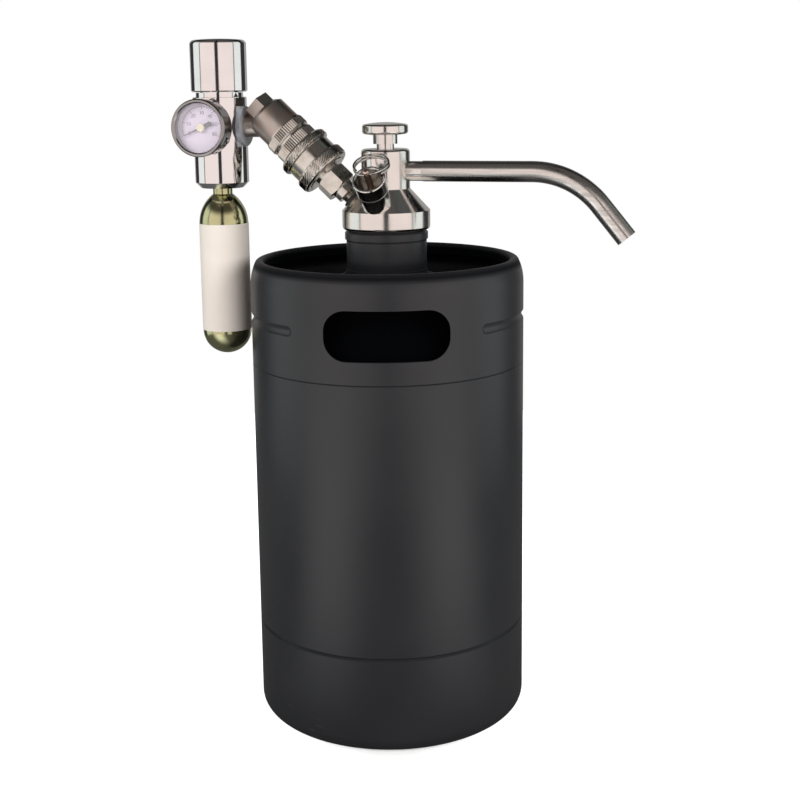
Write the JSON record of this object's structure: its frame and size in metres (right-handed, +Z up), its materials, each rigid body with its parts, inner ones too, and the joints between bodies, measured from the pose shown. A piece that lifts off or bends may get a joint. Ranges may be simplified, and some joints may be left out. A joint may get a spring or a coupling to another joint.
{
  "type": "mini keg beer dispenser",
  "caption": "Black mini keg with a polished screw-on tap cap, push button, curved spout, relief valve, quick coupler, gas regulator with gauge, and a small gas cartridge.",
  "frame": {"origin": "centre of the circle that the keg stands on, on the floor", "axes": "+Z up along the keg's axis; -Y towards the front handle; the tap's plane is turned 15.5 degrees about Z, spout towards +X and a little -Y, cartridge towards -X and a little +Y"},
  "size_m": [0.197, 0.12, 0.3002],
  "materials": {
    "black_coat": "matt powder coat",
    "polished_steel": "mirror polished stainless steel",
    "satin_steel": "fine satin brushed",
    "spring_steel": "drawn wire and bright turned steel",
    "warm_nickel": "warm nickel plate, turned and knurled",
    "dark_bronze": "dull grey-brown plate, turned",
    "copper_pin": "bare copper alloy, turned",
    "chrome_plate": "bright chrome plate",
    "dark_chrome": "black chrome plate",
    "plain_brass": "turned brass",
    "seal_rubber": "matt rubber",
    "white_plastic": "machined acetal",
    "dial_white": "flat printed enamel",
    "needle_grey": "matt paint",
    "hub_cream": "moulded",
    "window": "clear",
    "gold_plate": "yellow zinc plate",
    "label_film": "bare film"
  },
  "bodies": {
    "keg": {"keg_tank": "black_coat", "base_skirt": "black_coat", "top_collar": "black_coat", "keg_neck": "black_coat"},
    "cap_seal": {"cap_gasket": "seal_rubber"},
    "cap": {"tap_cap": "polished_steel", "dip_tube_bushing": "white_plastic", "dip_tube": "satin_steel", "button_spring": "spring_steel", "spout_tube": "satin_steel", "relief_body": "polished_steel", "relief_spring": "spring_steel", "gas_plug": "warm_nickel", "plug_washer": "seal_rubber"},
    "button": {"push_button": "polished_steel", "valve_stem": "polished_steel", "stem_seal": "seal_rubber", "valve_seal": "seal_rubber"},
    "relief_pin": {"relief_pull_pin": "copper_pin", "relief_seal": "seal_rubber"},
    "pull_ring": {"split_ring": "spring_steel"},
    "gas_side": {"coupler_body": "warm_nickel", "locking_balls": "spring_steel", "coupler_seal": "seal_rubber", "sleeve_clip": "spring_steel", "spring_stop": "spring_steel", "sleeve_spring": "spring_steel", "coupler_ring": "warm_nickel", "check_valve": "plain_brass", "check_spring": "spring_steel", "elbow_body": "dark_bronze", "outlet_nipple": "dark_bronze", "regulator_body": "chrome_plate", "piercing_pin": "spring_steel", "cartridge_seal": "seal_rubber", "regulator_seat": "white_plastic", "poppet_spring": "spring_steel", "bonnet": "chrome_plate", "range_spring": "spring_steel", "gauge_stem": "chrome_plate", "gauge_case": "dark_chrome", "gauge_case_screw": "spring_steel", "gauge_bezel": "dark_chrome", "gauge_window": "window", "gauge_dial": "dial_white", "gauge_movement": "plain_brass", "bourdon_tube": "plain_brass"},
    "sleeve": {"coupler_sleeve": "warm_nickel"},
    "knob": {"pressure_knob": "chrome_plate", "adjusting_screw": "plain_brass"},
    "plate": {"spring_plate": "spring_steel"},
    "piston": {"regulator_piston": "plain_brass", "piston_seal": "seal_rubber", "regulator_poppet": "plain_brass"},
    "needle": {"gauge_needle": "needle_grey", "needle_hub": "hub_cream", "needle_arbor": "spring_steel"},
    "cartridge": {"gas_cartridge": "gold_plate", "cartridge_label": "label_film"}
  },
  "joints": [
    {"name": "cap_lift", "type": "slide", "parent": "keg", "child": "cap_seal", "axis": [0, 0, 1], "range_m": [0, 0.0054]},
    {"name": "cap_turn", "type": "hinge", "parent": "cap_seal", "child": "cap", "pos_m": [0, 0, 0.2225], "axis": [0, 0, 1], "range_deg": [0, 1080]},
    {"name": "button_press", "type": "slide", "parent": "cap", "child": "button", "axis": [0, 0, -1], "range_m": [0, 0.0018], "stiffness_N_per_m": 1500, "springref_m": -0.003, "deforming": ["button_spring"]},
    {"name": "relief_pull", "type": "slide", "parent": "cap", "child": "relief_pin", "axis": [-0.1954, -0.7048, 0.682], "range_m": [0, 0.0015], "stiffness_N_per_m": 4000, "springref_m": -0.002, "deforming": ["relief_spring"]},
    {"name": "ring_swing", "type": "hinge", "parent": "relief_pin", "child": "pull_ring", "pos_m": [-0.00755, -0.02721, 0.24241], "axis": [0.9636, -0.2672, 0], "range_deg": [0, 214]},
    {"name": "gas_swivel", "type": "hinge", "parent": "cap", "child": "gas_side", "pos_m": [-0.01438, 0.00399, 0.23], "axis": [-0.7048, 0.1954, 0.682], "continuous": true},
    {"name": "sleeve_slide", "type": "slide", "parent": "gas_side", "child": "sleeve", "axis": [-0.7048, 0.1954, 0.682], "range_m": [0, 0.0022], "stiffness_N_per_m": 2500, "springref_m": -0.002, "deforming": ["sleeve_spring"]},
    {"name": "knob_turn", "type": "hinge", "parent": "gas_side", "child": "knob", "pos_m": [-0.07392, 0.0205, 0.26178], "axis": [0, 0, -1], "range_deg": [0, 1080]},
    {"name": "plate_slide", "type": "slide", "parent": "gas_side", "child": "plate", "axis": [0, 0, -1], "range_m": [0, 0.003], "deforming": ["range_spring"]},
    {"name": "piston_slide", "type": "slide", "parent": "gas_side", "child": "piston", "axis": [0, 0, -1], "range_m": [0, 0.0006], "stiffness_N_per_m": 2000, "springref_m": -0.001, "deforming": ["poppet_spring"]},
    {"name": "needle_turn", "type": "hinge", "parent": "gas_side", "child": "needle", "pos_m": [-0.07392, 0.0205, 0.26178], "axis": [0.2672, 0.9636, 0], "range_deg": [0, 225], "stiffness_Nm_per_rad": 0.000002, "springref_deg": -28.65},
    {"name": "cartridge_draw", "type": "slide", "parent": "gas_side", "child": "cartridge", "axis": [0, 0, -1], "range_m": [0, 0.0125]}
  ],
  "couplings": [
    {"joint": "cap_lift", "follows": "cap_turn", "m_per_rad": 0.00028647},
    {"joint": "plate_slide", "follows": "knob_turn", "m_per_rad": 0.00015915}
  ]
}
